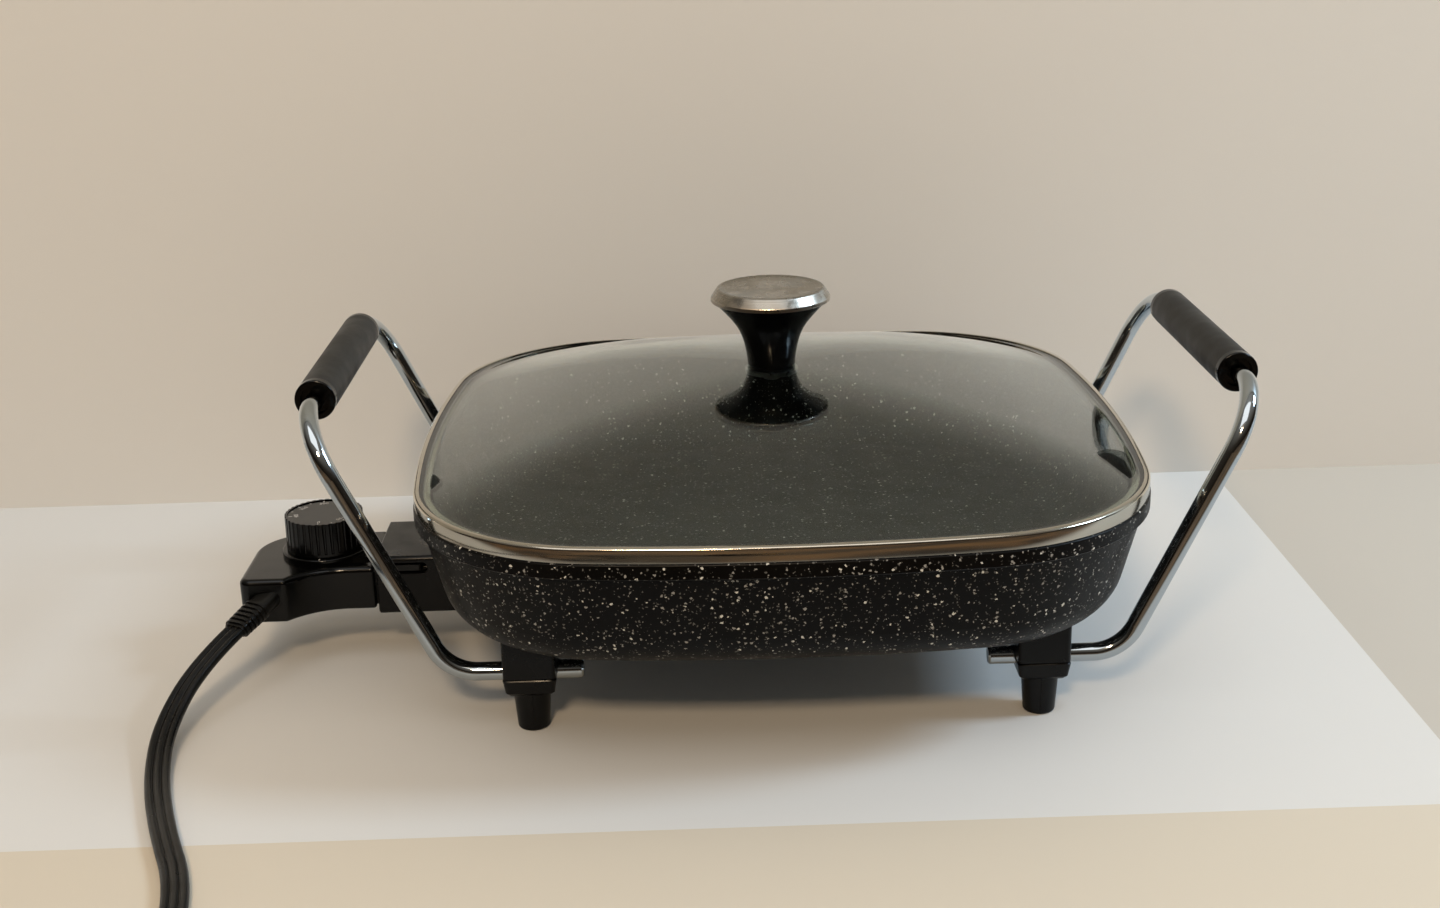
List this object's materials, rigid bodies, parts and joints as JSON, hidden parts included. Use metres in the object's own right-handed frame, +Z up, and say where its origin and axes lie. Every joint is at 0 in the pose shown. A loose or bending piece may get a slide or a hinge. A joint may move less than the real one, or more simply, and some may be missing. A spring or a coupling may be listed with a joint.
{
  "type": "electric skillet",
  "caption": "Square electric skillet with a domed glass lid, bail handles on moulded legs and a plug-in probe heat control on a flat cord.",
  "frame": {"origin": "on the surface that the feet stand on, under the middle of the space between the back of the heat control and the outside of the right grip", "axes": "+X along the skillet from the heat control to the right handle, +Y from the front, where the cord leads away, to the rear, +Z up"},
  "size_m": [0.4755, 0.5525, 0.1683],
  "materials": {
    "nonstick_coating": "satin black non-stick coating with fine pale speckles",
    "phenolic": "satin black heat-proof moulding",
    "gloss_black": "glossy black moulding",
    "grip_grey": "matte dark grey-brown grip",
    "chrome_rod": "polished chrome plate",
    "band_steel": "polished stainless steel",
    "cap_steel": "brushed stainless steel",
    "lid_glass": "tempered glass, grey-green",
    "silicone": "black silicone",
    "element_sheath": "dull sheath",
    "bright_steel": "plated steel",
    "brass": "bare brass",
    "ceramic": "unglazed steatite",
    "cord_black": "black rubber sheath"
  },
  "bodies": {
    "pan": {"pan_body": "nonstick_coating", "heating_element": "element_sheath", "terminal_pins": "bright_steel", "terminal_insulators": "ceramic", "terminal_guard": "phenolic", "guard_screws": "bright_steel", "leg_screws": "bright_steel", "leg_bracket_front_left": "phenolic", "foot_front_left": "phenolic", "leg_bracket_front_right": "phenolic", "foot_front_right": "phenolic", "leg_bracket_rear_left": "phenolic", "foot_rear_left": "phenolic", "leg_bracket_rear_right": "phenolic", "foot_rear_right": "phenolic", "handle_rod_left": "chrome_rod", "grip_sleeve_left": "grip_grey", "grip_cap_left_front": "gloss_black", "grip_cap_left_rear": "gloss_black", "handle_rod_right": "chrome_rod", "grip_sleeve_right": "grip_grey", "grip_cap_right_front": "gloss_black", "grip_cap_right_rear": "gloss_black"},
    "lid": {"lid_glass": "lid_glass", "lid_band": "band_steel", "lid_seal": "silicone", "knob_stem": "gloss_black", "knob_cap": "cap_steel", "knob_screw": "bright_steel", "knob_washer": "bright_steel", "knob_gasket": "silicone"},
    "heat_control": {"control_top_case": "gloss_black", "control_bottom_case": "gloss_black", "probe_tube": "bright_steel", "contact_sockets": "brass", "thermostat_block": "ceramic", "thermostat_bracket": "bright_steel", "bimetal_blade": "brass", "contact_blades": "brass", "case_screws": "bright_steel", "strain_relief": "cord_black", "cord_tube": "cord_black", "cord_coil": "cord_black", "cord_tail": "cord_black", "cord_tie": "cord_black", "plug_body": "cord_black", "plug_blades": "brass", "plug_ground_pin": "brass"},
    "dial": {"dial": "gloss_black", "dial_shaft": "bright_steel"}
  },
  "joints": [
    {"name": "lid_lift", "type": "slide", "parent": "pan", "child": "lid", "axis": [0, 0, 1], "range_m": [0, 0.12]},
    {"name": "control_pull", "type": "slide", "parent": "pan", "child": "heat_control", "axis": [-1, 0, 0], "range_m": [0, 0.12]},
    {"name": "dial_turn", "type": "hinge", "parent": "heat_control", "child": "dial", "pos_m": [-0.19165, 0, 0.058], "axis": [0, 0, 1], "range_deg": [-285, 0]}
  ]
}
